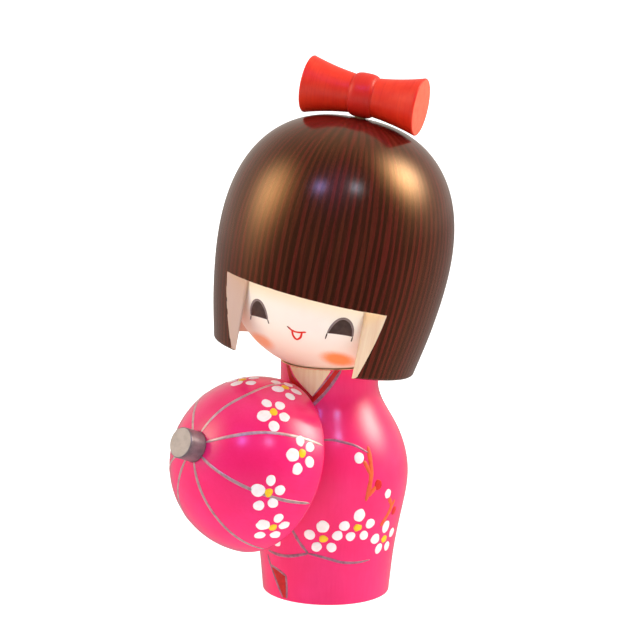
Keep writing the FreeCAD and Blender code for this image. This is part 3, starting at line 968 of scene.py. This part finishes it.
def paint_flowers():
    petals, stamens = bmesh.new(), bmesh.new()
    for i, place in enumerate(ROBE_FLOWERS + BACK_FLOWERS):
        flower(petals, stamens, ROBE, place, ROBE_FLOWER, 20 + i)
    for place, wide, high, seed in PETAL_BUDS:
        dab(petals, ROBE, place, wide, high, seed=seed)
    add_piece("robe_petals", petals, DOLL, ["white"])
    add_piece("robe_stamens", stamens, DOLL, ["yellow"])
    petals, stamens = bmesh.new(), bmesh.new()
    for i, place in enumerate(PARASOL_FLOWERS):
        flower(petals, stamens, BOWL, place, PARASOL_FLOWER, 40 + i)
    add_piece("parasol_petals", petals, PARASOL, ["white"])
    add_piece("parasol_stamens", stamens, PARASOL, ["yellow"])


def paint_ribs():
    ribs = bmesh.new()
    for i, (near, middle, far) in enumerate(RIBS):
        stroke(ribs, BOWL, [(near, 9.6), ((near + middle) / 2, 26), (middle, 47),
                            ((middle + far) / 2, 70), (far, 90.5)], 0.95, taper=0.25, seed=i)
    add_piece("parasol_ribs", ribs, PARASOL, ["rib"], "doll_body")


# Strokes as their width, seed and the places they pass
FORKED_TWIG = ((1.5, 5, [(53.4, 45.0), (53.0, 37.5), (49.1, 30.2)]),
               (1.25, 6, [(47.9, 41.4), (52.6, 37.6)]),
               (1.35, 7, [(57.0, 34.0), (50.6, 31.6)]))
SIDE_TWIG = ((1.5, 9, [(70.9, 29.8), (75.0, 26.6), (66.3, 21.8)]),
             (1.2, 10, [(78.5, 28.8), (75.0, 26.4)]))


def paint_twigs():
    twigs, buds = bmesh.new(), bmesh.new()
    for shift, rise in ((0, 0), (138, -4)):
        for width, seed, places in FORKED_TWIG:
            moved = [(bearing + shift, height + rise) for bearing, height in places]
            stroke(twigs, ROBE, moved, width, seed=seed)
        dab(buds, ROBE, (59.0 + shift, 34.4 + rise), 2.5, 3.1, seed=8)
    for width, seed, places in SIDE_TWIG:
        stroke(twigs, ROBE, places, width, seed=seed)
    dab(buds, ROBE, (80.5, 25.4), 2.4, 2.6, seed=11)
    add_piece("robe_twigs", twigs, DOLL, ["twig"])
    add_piece("robe_buds", buds, DOLL, ["red"])


COLLAR_TIP = (1.6, 57.6)
NECK_TOP = BODY_TOP - 0.06
NECK_LEFT = [(-36.2, NECK_TOP), (-25.8, 62.4), (-12.0, 60.0), COLLAR_TIP]
NECK_RIGHT = [(26.4, NECK_TOP), (17.5, 62.5), (9.5, 60.0), COLLAR_TIP]


def paint_collar():
    """Bare neck between the crossed collars, and their red linings; the silver edges are among the robe
    lines.
    """
    neck = bmesh.new()
    patch(neck, ROBE, NECK_LEFT, NECK_RIGHT)
    add_piece("neck_skin", neck, DOLL, ["neck"], "doll_body")
    lining = bmesh.new()
    patch(lining, ROBE, [(-42.0, NECK_TOP), (-33.0, 60.6), (-16.0, 57.4), (-3.2, 55.2)],
          [(-35.0, NECK_TOP), (-24.6, 62.3), (-11.0, 60.0), (2.2, 57.6)], thick=0.09, columns=4)
    patch(lining, ROBE, [(25.4, NECK_TOP), (16.6, 62.4), (8.7, 59.9), (-0.4, 57.2)],
          [(33.4, NECK_TOP), (24.0, 61.4), (14.6, 58.6), (-2.4, 54.6)], thick=0.09, columns=4)
    add_piece("collar_lining", lining, DOLL, ["lining"])


SLEEVE = [(13, 46.9), (24, 47.0), (33, 46.4), (43, 45.3), (53, 43.2)]
# Silver lines as their width, how much they thin at the ends, seed and places
ROBE_LINES = [
    (1.0, 0.35, 12, [(34.4, 65.1), (24.0, 61.4), (14.6, 58.4), (4.0, 55.6), (-6.0, 52.6), (-16.0, 49.6)]),
    (0.5, 0.35, 13, [(26.6, 65.1), (17.5, 62.4), (9.5, 59.9), (1.4, 57.5)]),
    (0.75, 0.7, 14, SLEEVE),
    (0.75, 0.7, 14, [(-bearing, height) for bearing, height in SLEEVE]),
    (0.95, 0.35, 15, [(-8, 22.4), (-4.6, 20.2), (-0.6, 17.8), (5.9, 15.0)]),
    (0.95, 0.35, 16, [(-36, 13.4), (-24, 13.1), (-10.5, 13.5), (6.0, 15.0)]),
    (0.85, 0.8, 17, [(5.0, 15.0), (14, 14.5), (23.9, 13.6), (34, 12.6), (47, 12.2), (60, 12.4)]),
    (0.8, 0.35, 18, [(-38.3, 12.0), (-35.0, 9.4), (-25, 8.6), (-16.0, 7.4)]),
    (0.7, 0.35, 19, [(-38.3, 12.0), (-33.5, 8.4), (-26.5, 4.0), (-20.5, 0.7)]),
    (0.7, 0.35, 20, [(-16.0, 7.6), (-15.6, 4.0), (-16.4, 0.7)]),
]


def paint_robe_lines():
    lines = bmesh.new()
    for width, taper, seed, places in ROBE_LINES:
        stroke(lines, ROBE, places, width, taper=taper, seed=seed)
    add_piece("robe_lines", lines, DOLL, ["silver"])
    lining = bmesh.new()
    patch(lining, ROBE, [(-35.0, 9.2), (-31.0, 6.6), (-25.8, 3.6), (-20.5, 0.6)],
          [(-35.0, 9.3), (-16.0, 7.3), (-15.6, 4.0), (-16.4, 0.6)], columns=6)
    add_piece("hem_lining", lining, DOLL, ["lining"])


LEFT_LID = [(-14.6, -16.4), (-14.65, -14.0), (-13.9, -12.0), (-12.6, -11.2), (-11.1, -11.8),
            (-9.8, -13.6), (-9.0, -15.9)]
RIGHT_LID = [(7.8, -15.7), (8.9, -13.2), (10.3, -11.4), (11.9, -10.8), (13.3, -11.6),
             (14.05, -13.4), (14.1, -15.7)]
LEFT_TAILS = ((-14.8, -17.5), (-8.6, -16.9))
RIGHT_TAILS = ((7.4, -17.4), (13.8, -17.0))


def eye(fill, rim, lid, tails, seed):
    """A smiling eye: an arch filled down to a straight line, with a paler rim and two tails."""
    foot = [(x, lid[0][1] + (lid[-1][1] - lid[0][1]) * (x - lid[0][0]) / (lid[-1][0] - lid[0][0]))
            for x, _ in lid]
    patch(fill, FACE, foot, lid, thick=0.05, columns=8, steps=4)
    stroke(rim, FACE, lid, 0.72, thick=0.1, taper=0.5, seed=seed)
    for number, corner in enumerate((lid[0], lid[-1])):
        tail = tails[number]
        middle = ((corner[0] + tail[0]) / 2, (corner[1] + tail[1]) / 2)
        stroke(fill, FACE, [corner, middle, tail], 0.4, seed=seed + 1 + number)


def paint_face():
    eyes, rims, lips = bmesh.new(), bmesh.new(), bmesh.new()
    eye(eyes, rims, LEFT_LID, LEFT_TAILS, 21)
    eye(eyes, rims, RIGHT_LID, RIGHT_TAILS, 31)
    stroke(lips, FACE, [(-3.0, -16.2), (-1.6, -17.0), (0.1, -17.15), (2.3, -16.6)], 0.62, seed=23)
    stroke(lips, FACE, [(-1.7, -16.9), (-1.25, -18.5), (-0.3, -19.3), (0.75, -18.5), (1.15, -16.9)],
           0.68, taper=0.2, seed=24)
    stroke(eyes, FACE, [(-3.1, -16.1), (-2.7, -16.4), (-2.4, -16.6)], 0.3, thick=0.11, seed=25)
    add_piece("eyes", eyes, HEAD, ["eye"], "head")
    add_piece("eye_rims", rims, HEAD, ["grey"], "head")
    add_piece("mouth", lips, HEAD, ["lip"], "head")


# --- Studio ---
def seen_from_camera(bearing, elevation):
    """Unit vector that many degrees to the camera's right, and up, from the doll."""
    turn, rise = math.radians(CAMERA_BEARING + bearing), math.radians(elevation)
    return Vector((math.sin(turn) * math.cos(rise), -math.cos(turn) * math.cos(rise),
                   math.sin(rise)))


# Lamps bounced off the room's walls, as soft round glows: bearing, elevation, spread in
# radians, brightness and colour
GLOWS = ((-85, 27, 0.30, 4.9, (1.0, 0.86, 0.62)),
         (93, 36, 0.27, 12.5, (1.0, 0.91, 0.73)),
         (177, 66, 0.62, 0.35, (1.0, 0.86, 0.66)),
         (-3, 46, 0.30, 0.7, (0.45, 0.26, 1.0)),
         (-26, 43, 0.080, 19.0, (0.16, 0.23, 1.0)),
         (20, 43, 0.080, 14.0, (0.22, 0.44, 1.0)))


class WorldNodes(Tree):
    """The surroundings, built out of where a direction points."""

    def __init__(self, tree):
        super().__init__(tree)
        self.direction = self.add("TexCoord", {}).outputs["Generated"]

    def vector_math(self, operation, first, second=None, scale=None):
        inputs = {0: first, 1: second, 3: scale}
        given = {number: value for number, value in inputs.items() if value is not None}
        node = self.add("VectorMath", given, operation=operation)
        return node.outputs["Value" if operation == "DOT_PRODUCT" else "Vector"]

    def shade(self, towards, bounds, values):
        """Strength that changes smoothly with how far a direction faces one way."""
        return self.remap(self.vector_math("DOT_PRODUCT", self.direction, towards), *bounds, *values)

    def glow(self, bearing, elevation, spread, brightness, colour):
        """A soft round light that fades outwards like a bell curve."""
        away = self.vector_math("SUBTRACT", self.direction, seen_from_camera(bearing, elevation))
        far = self.vector_math("DOT_PRODUCT", away, away)
        fade = self.math("EXPONENT", self.math("MULTIPLY", far, -1 / spread**2))
        return self.vector_math("SCALE", Vector(colour) * brightness, scale=fade)


def make_world():
    """Pale surroundings, darker towards the camera, overhead and below the tabletop."""
    world = bpy.data.worlds.new("studio")
    bpy.context.scene.world = world
    world.use_nodes = True
    w = WorldNodes(world.node_tree)
    strength = w.math("MULTIPLY", w.shade(seen_from_camera(0, 8), (0.8, -0.6), (0.11, 0.50)),
                      w.shade(Vector((0, 0, 1)), (-0.12, 0.02), (0.6, 1.0)))
    strength = w.math("MULTIPLY", strength, w.shade(Vector((0, 0, 1)), (0.3, 0.85), (1.12, 0.6)))
    light = w.vector_math("SCALE", Vector((1.0, 0.93, 0.86)), scale=strength)
    for glow in GLOWS:
        light = w.vector_math("ADD", light, w.glow(*glow))
    world.node_tree.links.new(light, world.node_tree.nodes["Background"].inputs["Color"])


SOFTBOX_WIDE, SOFTBOX_WATTS, SOFTBOX_HEIGHT = 1.6, 8.0, 1.6
FLOOR_REACH = 6.0


def make_lamp():
    """A wide, dim softbox above the doll; it lights the paint and leaves no mirror image."""
    data = bpy.data.lights.new("softbox", "AREA")
    data.shape = "DISK"
    data.size = SOFTBOX_WIDE
    data.energy = SOFTBOX_WATTS
    data.color = (1.0, 0.95, 0.90)
    lamp = bpy.data.objects.new("softbox", data)
    lamp.location = (0, 0, SOFTBOX_HEIGHT)
    lamp.visible_glossy = False
    bpy.context.scene.collection.objects.link(lamp)


def make_floor():
    """A plain pale tabletop that runs out of sight."""
    n = Nodes("floor_white", own=False)
    cloud = n.noise(0.004, 2.0)
    colour = n.mix(n.remap(cloud, 0.3, 0.7), (0.36, 0.36, 0.36), (0.40, 0.40, 0.40))
    n.shader.inputs["Emission Color"].default_value = (1.0, 1.0, 1.0, 1.0)
    material = n.finish(colour, 0.9, Specular_IOR_Level=0.1, Emission_Strength=1.0)
    mesh = bpy.data.meshes.new("floor")
    corners = [(x * FLOOR_REACH, y * FLOOR_REACH, 0) for x, y in ((-1, -1), (1, -1), (1, 1), (-1, 1))]
    mesh.from_pydata(corners, [], [(0, 1, 2, 3)])
    mesh.materials.append(material)
    floor = bpy.data.objects.new("floor", mesh)
    bpy.context.scene.collection.objects.link(floor)
    floor.visible_glossy = False


def make_camera():
    turn, pitch, roll = map(math.radians, (CAMERA_BEARING, CAMERA_PITCH, CAMERA_ROLL))
    data = bpy.data.cameras.new("camera")
    data.sensor_width = 36.0
    data.lens = CAMERA_LENS
    data.clip_start, data.clip_end = 0.01, 50.0
    camera = bpy.data.objects.new("camera", data)
    bpy.context.scene.collection.objects.link(camera)
    spot = Matrix.Translation(Vector((CAMERA_SIDE, -CAMERA_DISTANCE, CAMERA_HEIGHT)) * MM)
    camera.matrix_world = (Matrix.Rotation(turn, 4, "Z") @ spot
                           @ Matrix.Rotation(math.pi / 2 - pitch, 4, "X")
                           @ Matrix.Rotation(roll, 4, "Z"))
    bpy.context.scene.camera = camera


make_camera()
make_world()
make_lamp()
make_floor()
bpy.context.scene.view_settings.view_transform = "Standard"

make_body()
make_head()
make_parasol()
finish_inner_pieces()
paint_flowers()
paint_ribs()
paint_twigs()
paint_collar()
paint_robe_lines()
paint_face()
